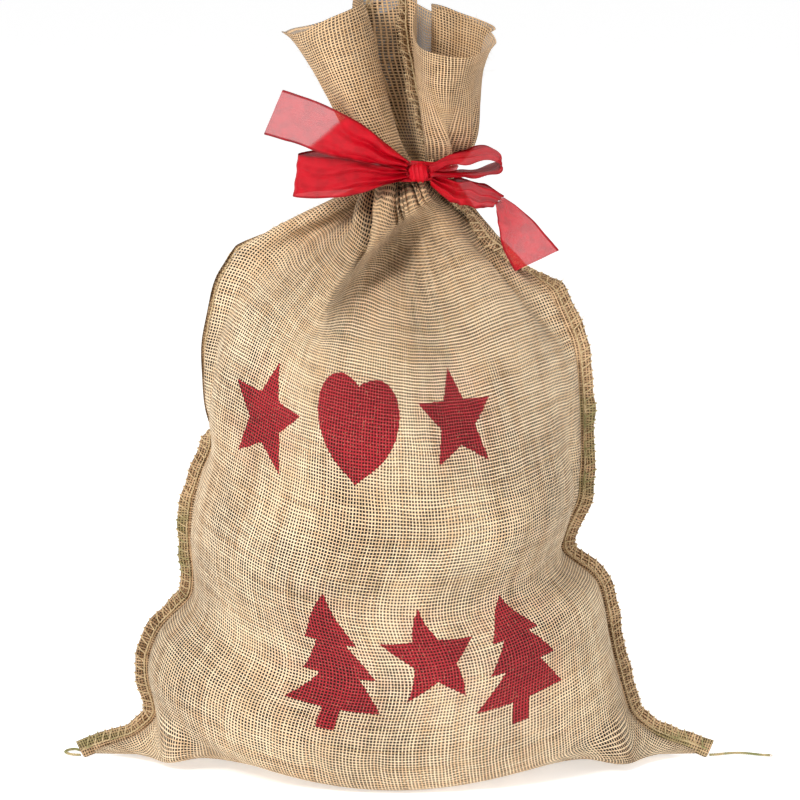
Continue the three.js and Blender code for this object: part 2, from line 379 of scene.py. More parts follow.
def printed(u, v, motifs):
    """1 where the red print lies, and a soft stain round it."""
    ragged_u = u + (noise(u, v, 1.1, scale=330, detail=3) - 0.5) * 2.6 * MM
    ragged_v = v + (noise(u, v, 6.1, scale=330, detail=3) - 0.5) * 2.6 * MM
    ink = stain = None
    for shape, centre_u, centre_v, size in motifs:
        mark = shape(ragged_u - centre_u, ragged_v - centre_v, size)
        glow = away_from(u, v, centre_u, centre_v).ramp(size * 0.75, size * 1.45, 1.0, 0.0)
        ink = mark if ink is None else ink.math("MAXIMUM", mark)
        stain = glow if stain is None else stain.math("MAXIMUM", glow)
    return ink, stain


def hessian(name, see_through, motifs=(), stains=()):
    """see_through is how clear the holes of the weave are."""
    material, tree, shader = new_material(name, Roughness=0.94, Sheen_Weight=0.05,
                                          Sheen_Roughness=0.6, Specular_IOR_Level=0.15)
    u, v = pattern_axes(tree)
    cover, height, tone = plain_weave(u, v)
    patch = noise(u, v, 9.9, scale=11, detail=3)
    straw = mix(tone.ramp(0.32, 0.62), STRAW_MID, STRAW_PALE)
    straw = mix(tone.ramp(0.36, 0.22) * 0.75, straw, STRAW_DARK)
    straw = mix(patch.ramp(0.45, 0.75) * 0.35, straw, STRAW_MID)
    # Tan towards the neck: partly the cloth's warmer colour, partly painted shade of the gathered neck.
    straw = mix(v.ramp(0.40, 0.60) * 0.6, straw, NECK_TAN_AND_SHADE)
    if motifs:
        ink, stain = printed(u, v, motifs)
        soaked = noise(u, v, 2.7, scale=60, detail=3).ramp(0.35, 0.6)
        straw = mix(stain * soaked * 0.16, straw, BLEED_PINK)
        worn = noise(u, v, 4.4, scale=700, detail=2).ramp(0.3, 0.45, 0.78, 0.97)
        straw = mix(ink * worn, straw, PRINT_RED)
    for centre_u, centre_v, reach in stains:
        away = away_from(u, v, centre_u, centre_v)
        straw = mix(away.ramp(reach * 0.2, reach, 0.45, 0.0), straw, BLEED_PINK)
    # Painted shade: the holes and the low edges of the threads are darkened towards the hole colour,
    # standing in for the shade inside the weave.
    shade = height.ramp(0.02, 0.62, 1.0, 0.0)
    plug(mix(shade, straw, HOLE_SHADE), shader.inputs["Base Color"])
    if see_through:
        plug(cover * see_through + (1.0 - see_through), shader.inputs["Alpha"])
    bump(height, shader, 0.0007, 0.75)
    return material


def seam_cloth():
    """The overlocked allowance: dense, darker cloth, green where the thread's dye has run."""
    material, tree, shader = new_material("seam_cloth", Roughness=0.95, Specular_IOR_Level=0.1)
    u, v = pattern_axes(tree)
    _, height, tone = plain_weave(u * 1.25, v * 1.25)
    x, y, z = object_axes(tree)
    dye = dye_runs(x, z) * noise(x, y, z, scale=40, detail=3).ramp(0.38, 0.6)
    edge = u.ramp(6 * MM, 10 * MM)
    straw = mix(tone.ramp(0.3, 0.62), STRAW_DARK, STRAW_MID)
    straw = mix(dye * edge * 0.6, straw, OLIVE)
    # Painted shade: the gaps and low thread edges of the allowance darken towards the hole colour.
    plug(mix(height.ramp(0.0, 0.6, 0.85, 0.0), straw, HOLE_SHADE), shader.inputs["Base Color"])
    bump(height, shader, 0.0006, 0.8)
    return material


def thread_material(name, pale, dark, dye_strength):
    material, tree, shader = new_material(name, Roughness=0.85, Specular_IOR_Level=0.2)
    x, y, z = object_axes(tree)
    dye = dye_runs(x, z) * noise(x, y, z, scale=60, detail=3).ramp(0.4, 0.58) * dye_strength
    fibre = noise(x, y, z, scale=1400, detail=3)
    colour = mix(fibre.ramp(0.3, 0.65), dark, pale)
    plug(mix(dye, colour, OLIVE), shader.inputs["Base Color"])
    bump(fibre, shader, 0.0003, 0.6)
    return material


# ---- organza ----
ORGANZA_RED = (0.55, 0.0, 0.01)
ORGANZA_DEEP = (0.22, 0.0, 0.004)
ORGANZA_PITCH = 0.55 * MM
RIBBON_WIDTH = 38 * MM
RIBBON_THICKNESS = 0.12 * MM
CRUSHED_THICKNESS = 0.3 * MM


def organza(name, near, far, turn=(0.0, 1.0)):
    """Sheer ribbon: u runs across it in metres, so its two selvedges are near 0 and its full width.
    near and far are how opaque it is before and after the stretch between the two lengths of turn.
    """
    material, tree, shader = new_material(name, Roughness=0.4, Specular_IOR_Level=0.2)
    u, v = pattern_axes(tree)
    from_edge = (u - RIBBON_WIDTH / 2).math("ABSOLUTE")
    selvedge = from_edge.ramp(RIBBON_WIDTH / 2 - 2.2 * MM, RIBBON_WIDTH / 2 - 1.2 * MM)
    per_thread = TAU / ORGANZA_PITCH
    threads = ((u * per_thread).math("SINE") + (v * per_thread).math("SINE")) * 0.25 + 0.5
    cloud = noise(u, v, 1.7, scale=120, detail=3)
    deep = selvedge * 0.7 + cloud.ramp(0.38, 0.68) * 0.35
    plug(mix(deep, ORGANZA_RED, ORGANZA_DEEP), shader.inputs["Base Color"])
    opacity = threads * 0.2 + (v + u * 0.5).ramp(*turn, near, far) + selvedge * 0.35 - 0.1
    plug(opacity.math("MINIMUM", 1.0), shader.inputs["Alpha"])
    bump(threads + cloud * 3.0, shader, 0.00025, 0.5)
    return material


# ---- the sack's cloth: how it is cut, and the outline it is stuffed to (millimetres) ----
CUT_WIDTH = 500.0
TIE_AT = 605.0  # from the bottom fold up to the tie
MOUTH_AT = 750.0
COLUMNS = 144  # round both panels, from the left side seam through the front
BODY_ROWS = 86
RUFFLE_ROWS = 21
RIGHT_SEAM = COLUMNS // 2
CLOTH_THICKNESS = 1.0 * MM
TIE = np.array([18.0, 0.0, 475.0])
TIE_TWIST = math.radians(60)  # the neck is wound round as it is tied
TIE_FOLDS = 18
TIE_CORE, TIE_FOLD_DEPTH = 5, 24
NECK_BUNCH = 7  # how far below the tie the gathered ring repeats
LOBE_FULLNESS = 0.66  # below 1 the ruffle swells out just above the tie
MOUTH_CLOSING = 0.12  # how much the right lobe draws in again at the mouth
RIPPLE_FRONT, RIPPLE_BACK = 0.12, 0.5
RIM_WAVE = 1.2
SHOULDER = 335.0
LEFT_OUTLINE = [  # x and height of the left side seam
    (-250, 3), (-236, 9), (-206, 18), (-186, 36), (-194, 58), (-197, 80), (-186, 108),
    (-158, 134), (-158, 150), (-160, 170), (-161, 186), (-158, 212), (-148, 240), (-139, 259),
    (-148, 285), (-150, 335), (-139, 387), (-117, 420), (-86, 444), (-50, 455), (-12, 460),
    (-11, 475)]
RIGHT_OUTLINE = [
    (250, 3), (236, 9), (208, 18), (186, 36), (180, 58), (174, 80), (168, 108), (164, 134),
    (158, 150), (128, 170), (132, 186), (145, 212), (146, 240), (146, 259), (145, 285),
    (141, 335), (118, 387), (90, 420), (70, 440), (56, 452), (47, 462), (47, 475)]
FRONT_OUTLINE = [  # depth and height of the middle of each panel
    (0, 0), (88, 0), (104, 8), (110, 30), (114, 58), (118, 80), (123, 108), (127, 134),
    (129, 150), (132, 170), (134, 186), (136, 212), (138, 240), (138, 259), (138, 285),
    (135, 335), (118, 387), (95, 420), (72, 440), (50, 452), (30, 460), (29, 475)]
SHARP_AT = (0, 40, 75, 130, 200)  # rows, and how pointed the sack's section is there
SHARPNESS = (0.9, 0.7, 0.4, 0.42, 0.5)
# The mouth, from above: x, y and height from the tie. The front panel makes the left lobe ...
MOUTH_FRONT = [
    (-6, 44, 130), (-12, 68, 122), (-26, 92, 110), (-48, 100, 103), (-66, 88, 104), (-66, 70, 110),
    (-50, 54, 117), (-32, 42, 121), (-32, 28, 124), (-50, 24, 120), (-68, 38, 110), (-86, 44, 103),
    (-101, 30, 102), (-107, 6, 103), (-106, -18, 104), (-97, -38, 106), (-82, -50, 111),
    (-64, -54, 120), (-50, -46, 127), (-44, -28, 129), (-50, -6, 131), (-49, 14, 131), (-38, 26, 131),
    (-22, 22, 133), (-12, 10, 134)]
# ... and the back panel the right one, with its pocket.
MOUTH_BACK = [
    (-12, 10, 134), (-2, 2, 132), (-2, -18, 124), (-5, -42, 112), (0, -70, 99), (12, -88, 94),
    (28, -95, 93), (46, -90, 94), (60, -74, 97), (66, -52, 100), (64, -30, 103), (54, -14, 108),
    (38, -7, 114), (24, -9, 120), (12, -4, 124), (12, 8, 124), (22, 15, 121), (36, 13, 116),
    (54, 14, 110), (66, 26, 104), (67, 46, 99), (56, 58, 102), (40, 51, 110), (26, 42, 118),
    (17, 48, 119), (18, 66, 112), (9, 80, 112), (-3, 72, 119), (-7, 58, 126), (-6, 44, 130)]

# Spare cloth between the shoulder and the tie, most of it left of the middle of the front.
SLACK_FROM = 430.0
SLACK_ROUND, SLACK_FRONT = 8.0, 26.0
SLACK_MIDDLE, SLACK_SPREAD = 0.2, 0.12

# The fold that the tie throws over to the front's left: x and height of its ridge, from the knot
# down, and the hollow beside it. Each swell is how far along the fold, and how strong it is there.
FOLD_LINE = [(30, 470), (12, 456), (-10, 441), (-32, 422), (-50, 396), (-58, 368), (-58, 345)]
FOLD_STEPS = 60
FOLD_OUT, FOLD_IN = 36.0, 28.0
FOLD_ABOVE, FOLD_BELOW = 36.0, 13.0
HOLLOW_AT, HOLLOW_HALF = 29.0, 15.0
FOLD_SWELL = (0, 0.15, 0.4, 0.7, 0.9, 1.0), (0.25, 0.75, 1.0, 0.9, 0.35, 0.0)
HOLLOW_SWELL = (0, 0.2, 0.4, 0.65, 0.95), (0.0, 0.3, 1.0, 1.0, 0.0)

# Steps of the outlines and of the sack's section before they are cut to rows and columns.
OUTLINE_STEPS = 2000
OUTLINE_REACH, OUTLINE_BLUR = 60, 22.0
SECTION_STEPS = 1440


def smooth_outline(points, count):
    """An outline with its corners eased, at even steps along the cloth."""
    fine = resample(points, OUTLINE_STEPS)
    reach = OUTLINE_REACH
    weights = np.exp(-0.5 * (np.arange(-reach, reach + 1) / OUTLINE_BLUR) ** 2)
    weights /= weights.sum()
    eased = []
    for axis in fine.T:
        before = 2 * axis[0] - axis[reach:0:-1]
        after = 2 * axis[-1] - axis[-2:-reach - 2:-1]
        eased.append(np.convolve(np.concatenate([before, axis, after]), weights, "valid"))
    return resample(np.stack(eased, axis=1), count)


def ease(values, low, high):
    part = np.clip((values - low) / (high - low), 0, 1)
    return part * part * (3 - 2 * part)


def lay_ears(ring, cloth):
    """The bottom corners lie open on the floor: a lip in front, a trough, the seam along the middle."""
    x, y, z = ring.T
    amount = ease(np.abs(x), 135, 185) * (1 - ease(cloth, 62, 95))
    widened = y * (1 + amount * np.interp(np.abs(x), [150, 200, 246], [0.25, 0.9, 2.2]))
    reach = np.interp(np.abs(x), [152, 246], [94, 22])
    out = np.clip(np.abs(widened) / reach, 0, 1.2)
    trough = z * (1 - 0.75 * amount * ease(out, 0.05, 0.5))
    lip = amount * 7 * np.exp(-((out - 0.8) / 0.2) ** 2)
    return np.stack([x, widened, trough + lip], axis=1)


def sack_rings():
    """The smooth stuffed sack: one ring of points for each row of the cloth below the tie."""
    left, right, front = (smooth_outline(outline, BODY_ROWS)
                          for outline in (LEFT_OUTLINE, RIGHT_OUTLINE, FRONT_OUTLINE))
    angle = np.linspace(math.pi, 3 * math.pi, SECTION_STEPS + 1)[:-1]
    half = SECTION_STEPS // 2
    cos, sin = np.cos(angle), np.sin(angle)
    rings = []
    for row in range(BODY_ROWS):
        cloth = row / (BODY_ROWS - 1) * TIE_AT
        sharp = np.interp(cloth, SHARP_AT, SHARPNESS)
        slide = np.clip((front[row, 1] - 370) / 85, 0, 1)
        centre = TIE[0] * slide * slide * (3 - 2 * slide)
        x = centre + np.where(cos > 0, right[row, 0] - centre, centre - left[row, 0]) * cos
        y = front[row, 0] * np.sign(sin) * np.abs(sin) ** (2 * sharp)
        side_height = np.where(cos > 0, right[row, 1], left[row, 1])
        z = side_height * cos ** 2 + front[row, 1] * sin ** 2
        ring = np.stack([x, y, z], axis=1)
        ring = lay_ears(ring, cloth)
        panels = (ring[:half + 1], np.vstack([ring[half:], ring[:1]]))
        rings.append(np.vstack([resample(panel, COLUMNS // 2 + 1)[:-1] for panel in panels]))
    return np.array(rings), front[:, 1]


def fold_phase(turn):
    """Counts the folds of the gathers round the neck; some are wide and some narrow."""
    return (TIE_FOLDS * turn + 0.9 * np.sin(TAU * 3 * turn + 1.0)
            + 0.5 * np.sin(TAU * 5 * turn + 2.5))


def pleated(ring, perimeter):
    """The ring, folded in and out until it is that long."""
    turn = np.arange(COLUMNS) / COLUMNS
    wave_out = np.cos(TAU * fold_phase(turn)) * (1 + 0.5 * np.sin(TAU * 2 * turn))
    along = np.roll(ring, -1, axis=0) - np.roll(ring, 1, axis=0)
    out = unit(np.stack([along[:, 1], -along[:, 0], 0 * along[:, 0]], axis=1))
    low, high = 0.0, 40.0
    for _ in range(24):
        depth = (low + high) / 2
        folded = ring + out * (wave_out * depth)[:, None]
        length = np.linalg.norm(np.roll(folded, -1, axis=0) - folded, axis=1).sum()
        low, high = (depth, high) if length < perimeter else (low, depth)
    return folded


def tie_ring():
    """The gathered cloth inside the ribbon: many small folds round the neck's core."""
    turn = np.arange(COLUMNS) / COLUMNS
    angle = math.pi - TIE_TWIST + TAU * turn
    radius = TIE_CORE + TIE_FOLD_DEPTH * np.abs((fold_phase(turn) % 1) * 2 - 1)
    return TIE + np.stack([radius * np.cos(angle), radius * np.sin(angle), 0 * angle], axis=1)


def gathered(tie, mouth, part):
    """One ring of the ruffle: the folds inside the ribbon fade out while the mouth's lobes open."""
    folds, lobes = (tie - TIE) * (1 - ease(part, 0, 0.8)), (mouth - TIE) * part
    opening = part ** (LOBE_FULLNESS - 1)
    closing = np.interp(lobes[:, 0], [-50, 30], [0.03, MOUTH_CLOSING]) * ease(part, 0.55, 1.0)
    turn = np.arange(COLUMNS) / COLUMNS
    ripple = np.cos(TAU * (9 * turn + 0.4 * np.sin(TAU * 2 * turn)) + 0.8)
    behind = ease(lobes[:, 1] / part, -10, 40)
    depth = (RIPPLE_FRONT + (RIPPLE_BACK - RIPPLE_FRONT) * behind) * math.sin(math.pi * part) ** 0.6
    lobes[:, :2] *= (opening * (1 - closing) * (1 + depth * ripple))[:, None]
    rim = np.sin(TAU * 11 * turn + 3 * np.sin(TAU * 3 * turn))
    lobes[:, 2] += RIM_WAVE * part ** 3 * rim
    return TIE + folds + lobes


def cloth_shapes():
    """The body before it is tied, where its held points end up, its flat pattern, and the ruffle."""
    goal, heights = sack_rings()
    start = goal.copy()
    shoulder = int(np.argmax(heights > SHOULDER))
    wall = goal[shoulder].copy()
    middle = wall.mean(axis=0)
    row_step = TIE_AT / (BODY_ROWS - 1)
    for row in range(shoulder, BODY_ROWS):
        narrowing = 1 - 0.25 * (row - shoulder) / (BODY_ROWS - 1 - shoulder)
        start[row, :, :2] = middle[:2] + (wall[:, :2] - middle[:2]) * narrowing
        start[row, :, 2] = wall[:, 2] + (row - shoulder) * row_step * 0.95
        opened = 2 * CUT_WIDTH * (0.9 + 0.1 * ease(row - shoulder, 3, 18))
        start[row] = pleated(start[row], opened)
    tie = tie_ring()
    goal[-1], goal[-2] = tie, tie - [0, 0, NECK_BUNCH]
    mouth = TIE + np.vstack([resample(catmull_rom(side), COLUMNS // 2 + 1)[:-1]
                             for side in (MOUTH_FRONT, MOUTH_BACK)])
    above = np.arange(1, RUFFLE_ROWS + 1) / RUFFLE_ROWS
    ruffle = np.array([gathered(tie, mouth, part) for part in above])
    turn = np.arange(COLUMNS) / COLUMNS
    across = np.where(turn <= 0.5, turn, 1 - turn) * 2 * CUT_WIDTH - CUT_WIDTH / 2
    up = np.linspace(0, TIE_AT, BODY_ROWS)[:, None]
    flat = np.zeros_like(start)
    spare = np.clip((up - SLACK_FROM) / (TIE_AT - SLACK_FROM), 0, 1)
    front = np.exp(-((turn - SLACK_MIDDLE) / SLACK_SPREAD) ** 2)
    flat[..., 0], flat[..., 2] = across, up + spare * (SLACK_ROUND + SLACK_FRONT * front)
    return start * MM, goal * MM, flat * MM, heights, ruffle * MM


# ---- cloth simulation: the sack is blown out from inside while its neck is drawn together ----
FRAMES = 40
DRAWN_BY = 24
PRESSURE = 22.0
EAR_ROWS = 10  # rows that make the corners' ears
BASE_ROWS = 14  # rows that lie under the sack, away from the ears
EAR_COLUMNS = 12
SEAM_HELD_TO = 380.0


def held_points(heights):
    """Rows and columns that follow the drawn shape exactly."""
    held = np.zeros((BODY_ROWS, COLUMNS), bool)
    held[BODY_ROWS - 2:] = True
    column = np.arange(COLUMNS) % RIGHT_SEAM
    away = np.minimum(column, RIGHT_SEAM - column)
    held[:EAR_ROWS] = True
    held[:BASE_ROWS, away > EAR_COLUMNS] = True
    low = np.flatnonzero(heights < SEAM_HELD_TO)
    held[np.ix_(low, [0, RIGHT_SEAM])] = True
    return held


def add_shape(piece, name, grid):
    key = piece.shape_key_add(name=name)
    key.data.foreach_set("co", grid.astype(np.float32).ravel())
    return key


def relax(cloth, amount, rounds):
    """Evens out small creases where amount is near 1."""
    for _ in range(rounds):
        near = (np.roll(cloth, 1, axis=1) + np.roll(cloth, -1, axis=1)) / 4
        near[1:-1] += (cloth[2:] + cloth[:-2]) / 4
        near[[0, -1]] *= 2
        cloth = cloth + (near - cloth) * amount[..., None] * 0.8
    return cloth


def throw_fold(cloth):
    """Smooths the pleats of the front's upper left, then presses one broad fold and its hollow there."""
    x, y, z = np.moveaxis(cloth / MM, -1, 0)
    front = ease(-y, 5, 40)
    plain = front * ease(z, 215, 250) * (1 - ease(z, 330, 365)) * (1 - ease(np.abs(x), 105, 140))
    swept = front * ease(z, 325, 375) * (1 - ease(z, 446, 468)) * (1 - ease(np.abs(x + 30), 70, 105))
    plain[:BASE_ROWS] = swept[:BASE_ROWS] = plain[BODY_ROWS - 4:] = swept[BODY_ROWS - 4:] = 0
    cloth = relax(cloth, np.maximum(plain, swept * 0.9), 60)
    x, y, z = np.moveaxis(cloth / MM, -1, 0)
    line = resample(catmull_rom([(a, 0, b) for a, b in FOLD_LINE]), FOLD_STEPS)[:, [0, 2]]
    heading = unit(np.gradient(line, axis=0))
    gap = np.stack([x, z], axis=-1)[..., None, :] - line
    nearest = np.argmin(np.sum(gap ** 2, axis=-1), axis=-1)
    offset = np.take_along_axis(gap, nearest[..., None, None], axis=2)[..., 0, :]
    ahead = heading[nearest]
    beside = ahead[..., 1] * offset[..., 0] - ahead[..., 0] * offset[..., 1]
    reach = nearest / (FOLD_STEPS - 1)
    front = ease(-y, 0, 14)
    front[:BASE_ROWS] = front[BODY_ROWS - 3:] = 0
    half = np.where(beside > 0, FOLD_ABOVE, FOLD_BELOW)
    ridge = FOLD_OUT * np.exp(-(beside / half) ** 2) * np.interp(reach, *FOLD_SWELL)
    hollow = FOLD_IN * np.exp(-((beside + HOLLOW_AT) / HOLLOW_HALF) ** 2)
    hollow = hollow * np.interp(reach, *HOLLOW_SWELL)
    cloth[..., 1] -= (ridge - hollow) * front * MM
    cloth[..., 2] -= ridge * 0.3 * front * MM
    return cloth


def simulate(start, goal, flat, held):
    cloth = grid_object("cloth", start, np.zeros(COLUMNS + 1), np.zeros(len(start)), None, wrap=True)
    cloth.shape_key_add(name="Basis")
    drawn = add_shape(cloth, "drawn", goal)
    pattern = add_shape(cloth, "flat", flat)
    drawn.value = 0
    drawn.keyframe_insert("value", frame=1)
    drawn.value = 1
    drawn.keyframe_insert("value", frame=DRAWN_BY)
    index = np.arange(held.size).reshape(held.shape)
    cloth.vertex_groups.new(name="held").add(index[held].tolist(), 1, "REPLACE")
    modifier = cloth.modifiers.new("cloth", "CLOTH")
    modifier.point_cache.frame_end = FRAMES
    values = dict(
        quality=6, mass=0.3, tension_stiffness=60, compression_stiffness=60, shear_stiffness=18,
        bending_stiffness=4, tension_damping=5, compression_damping=5, shear_damping=5,
        bending_damping=0.5, air_damping=3, bending_model="ANGULAR", rest_shape_key=pattern,
        vertex_group_mass="held", pin_stiffness=1, use_pressure=True,
        uniform_pressure_force=PRESSURE)
    for key, value in values.items():
        setattr(modifier.settings, key, value)
    modifier.settings.effector_weights.gravity = 0
    touching = modifier.collision_settings
    touching.use_self_collision, touching.self_distance_min = True, 0.0015
    touching.distance_min, touching.collision_quality, touching.self_friction = 0.001, 2, 2
    ground = square("ground", 1)
    ground.modifiers.new("ground", "COLLISION")
    ground.collision.thickness_outer = 0.001
    scene = bpy.context.scene
    scene.frame_start, scene.frame_end = 1, FRAMES
    for number in range(1, FRAMES + 1):
        scene.frame_set(number)
    evaluated = cloth.evaluated_get(bpy.context.evaluated_depsgraph_get())
    result = np.empty(start.size, np.float32)
    evaluated.data.vertices.foreach_get("co", result)
    for piece in (cloth, ground):
        bpy.data.objects.remove(piece)
    scene.frame_set(1)
    return result.astype(float).reshape(start.shape)


# ---- side seams ----
FIN_WIDTH = 11 * MM
FIN_STEP = 2.2 * MM
FIN_LEAN = 3.2 * MM
FIN_SECTION = np.array([  # out from the seam, and off the middle of the allowance
    (-4.0, 0.9), (2.5, 1.0), (5, 1.1), (8, 1.25), (10.4, 1.1), (11.2, 0.0), (10.4, -1.1), (8, -1.25),
    (5, -1.1), (2.5, -1.0), (-4.0, -0.9)]) * MM
TURNED_BY = math.radians(130)
TURNED_WITHIN = 0.012
STITCH_PITCH = 6.4 * MM
NEEDLE_LINE = 3.2 * MM
BEAD_PITCH, BEAD_LENGTH = 3.4 * MM, 3.6 * MM


def smooth_rows(values, reach):
    kernel = np.hanning(2 * reach + 3)[1:-1]
    kernel /= kernel.sum()
    padded = np.concatenate([values[:1].repeat(reach, 0), values, values[-1:].repeat(reach, 0)])
    return np.stack([np.convolve(axis, kernel, "valid") for axis in padded.T], axis=1)


def seam_frame(cloth, column, rows, step):
    """Points along a seam at even steps, with the directions out of the sack and across the seam."""
    line = cloth[rows, column]
    across = cloth[rows, (column + 1) % COLUMNS] - cloth[rows, (column - 1) % COLUMNS]
    along = np.gradient(line, axis=0)
    out = unit(smooth_rows(unit(np.cross(along, across)), 3)) * -1
    position = arc(line)
    where = np.linspace(0, position[-1], max(int(position[-1] / step), 4))
    line, out = read_off(line, position, where), unit(read_off(out, position, where))
    along = unit(np.gradient(line, axis=0))
    out = unit(out - along * np.sum(out * along, axis=1, keepdims=True))
    return line, out, np.cross(along, out), where


def wave(where, lengths, seed):
    """A smooth irregular wave between about -1 and 1."""
    shift = np.random.default_rng(seed).uniform(0, TAU, len(lengths))
    return sum(np.sin(where / (length * MM) * TAU + s)
               for length, s in zip(lengths, shift)) / len(lengths)


def side_seam(name, cloth, column, rows, width_at, turned_from, materials, seed):
    """An overlocked allowance that stands off the seam, with its stitches, needle line and fringe.
    Above the height turned_from it is folded over towards the back.
    """
    line, out, side, where = seam_frame(cloth, column, rows, FIN_STEP)
    back = side * np.sign(side[:, 1:2])
    turning = [turned_from - TURNED_WITHIN, turned_from + TURNED_WITHIN]
    turned = np.interp(line[:, 2], turning, [0, TURNED_BY])
    out = unit(out * np.cos(turned)[:, None] + back * np.sin(turned)[:, None])
    side = np.cross(unit(np.gradient(line, axis=0)), out)
    width = width_at(line) * (1 + 0.1 * wave(where, (37, 23, 61), seed))
    lean = wave(where, (31, 47, 19, 90), seed + 1)[:, None] * FIN_LEAN

    def place(reach, lift):
        """Points that far out along the allowance and that far off its middle."""
        part = reach / FIN_WIDTH
        return (line + out * (part * width)[:, None] + side * lift
                + side * lean * np.clip(part, 0, 1)[:, None] ** 1.5)

    full = np.ones(len(line))
    grid = np.stack([place(full * reach, lift) for reach, lift in FIN_SECTION], axis=1)
    fin = grid_object(name, grid, arc(FIN_SECTION), where, materials["seam"])
    subdivide(fin, 1)
    root, edge = place(full * 0, 0 * MM), place(full * FIN_WIDTH, 0 * MM)

    def at(position, reach, lift):
        """The same, for any positions along the seam."""
        inner, outer, normal = (read_off(values, where, position) for values in (root, edge, side))
        return inner + (outer - inner) * (reach / FIN_WIDTH) + normal * lift

    stitches = []
    for start in np.arange(STITCH_PITCH, where[-1] - STITCH_PITCH, STITCH_PITCH):
        start += rng.uniform(-0.5, 0.5) * MM
        steps = np.linspace(0, 1, 9)
        swing = np.sin(steps * math.pi)
        reach = NEEDLE_LINE + (FIN_WIDTH + 0.6 * MM - NEEDLE_LINE) * swing ** 0.75
        lift = np.cos(steps * math.pi) * 1.75 * MM
        position = start + STITCH_PITCH * 0.75 * swing + rng.uniform(-0.3, 0.3) * MM
        stitches.append([at(np.array([p]), r, l)[0] for p, r, l in zip(position, reach, lift)])
    loops = tubes(name + "_stitches", stitches, 0.55 * MM, 5, materials["thread"])
    beads = []
    for face in (1, -1):
        for start in np.arange(2 * MM, where[-1] - 4 * MM, BEAD_PITCH):
            steps = np.linspace(0, 1, 5)
            lift = face * (1.1 + 0.7 * np.sin(steps * math.pi)) * MM
            slant = NEEDLE_LINE + (steps - 0.5) * 0.8 * MM
            beads.append([at(np.array([start + BEAD_LENGTH * s]), r, l)[0]
                          for s, r, l in zip(steps, slant, lift)])
    needle = tubes(name + "_needle_line", beads, 0.6 * MM, 5, materials["thread"])
    count = int(where[-1] / (0.9 * MM))
    spots = rng.uniform(0, where[-1], count)
    roots = at(spots, FIN_WIDTH * rng.uniform(0.75, 1, (count, 1)), rng.normal(size=(count, 1)) * MM)
    tips = at(spots, FIN_WIDTH * 1.6, 0 * MM)
    heading = unit(tips - roots) + rng.normal(size=(count, 3)) * 0.5
    fringe = spray(name + "_fringe", roots, heading, rng.uniform(1.5, 5.5, count) * MM, 0.11 * MM,
                   materials["fibre"], 0.6)
    return fin, loops, needle, fringe


# ---- ribbon ----
def ribbon(name, centres, halves, material, pleats, depth, seed, steps=90, across=26):
    """A soft strip: halves point from its middle line to one edge; pleats deepen towards the knot."""
    line = resample(catmull_rom(np.array(centres) * MM), steps)
    where = np.linspace(0, 1, steps)
    half = catmull_rom(np.array(halves) * MM)
    half = read_off(half, np.linspace(0, 1, len(half)), where)
    along = unit(np.gradient(line, axis=0))
    through = unit(np.cross(along, half))
    t = np.linspace(-1, 1, across)
    amount = np.interp(where, np.linspace(0, 1, len(depth)), depth) * MM
    drift = wave(where * 0.1, (53, 31), seed)
    phase = pleats * math.pi * t[None, :] + drift[:, None] * 1.6 + seed
    fold = np.cos(phase) * amount[:, None]
    fold += 0.35 * np.cos(1.9 * phase + 1.0) * amount[:, None]
    length = arc(line)
    curl = wave(length, (34, 21), seed + 5)[:, None] * 1.3 * MM * t[None, :] ** 2
    grid = line[:, None] + half[:, None] * t[:, None] + through[:, None] * (fold + curl)[..., None]
    u = np.linspace(0, RIBBON_WIDTH, across)
    piece = grid_object(name, grid, u, length, material)
    subdivide(piece, 1)
    thicken(piece, RIBBON_THICKNESS, 0)
    return piece


def ribbon_knot(material, centre, half):
    """The ribbon's wrap over the middle of the bow, creased up and down."""
    x = np.linspace(-1, 1, 44)
    turn = np.linspace(0, TAU, 40, endpoint=False)
    bulge = (1 - np.abs(x) ** 3.2) ** 0.45 * (1 + 0.07 * np.cos(x * 13 + 0.7) + 0.04 * np.cos(x * 29))
    bulge = np.maximum(bulge, 0.12)
    y = bulge[:, None] * np.cos(turn) * half[1]
    z = bulge[:, None] * np.sin(turn) * half[2] * (1 + 0.05 * np.sin(x * 5))[:, None]
    sway = 0.6 * np.sin(turn * 2)[None, :] * np.ones_like(y)
    grid = np.stack([centre[0] + (x * half[0])[:, None] + sway, centre[1] + y, centre[2] + z], axis=-1)
    u = np.linspace(0.25, 0.75, 41) * RIBBON_WIDTH
    piece = grid_object("ribbon_knot", grid * MM, u, (x + 1) * half[0] * MM, material, wrap=True)
    subdivide(piece, 1)
    thicken(piece, CRUSHED_THICKNESS)
    return piece


def ribbon_band(material):
    """The ribbon's two turns round the neck, crushed into creases."""
    turn = np.linspace(0, TAU, 120, endpoint=False)
    rows = np.linspace(-1, 1, 22)
    crease = (0.9 * np.cos(rows[:, None] * 9 + 1.4 * np.sin(turn * 2) + 0.5)
              + 0.4 * np.cos(rows[:, None] * 19 + 2.0 * np.sin(turn * 3)))
    radius = 30.2 + crease * 0.8
    z = TIE[2] + rows[:, None] * (7.4 + 0.8 * np.sin(turn * 3 + 1)) + 0 * turn
    grid = np.stack([TIE[0] + radius * np.cos(turn), TIE[1] + radius * np.sin(turn), z], axis=-1)
    u = np.linspace(0.25, 0.75, 121) * RIBBON_WIDTH
    piece = grid_object("ribbon_band", grid * MM, u, (rows + 1) * 8 * MM, material, wrap=True)
    subdivide(piece, 1)
    thicken(piece, CRUSHED_THICKNESS)
    return piece


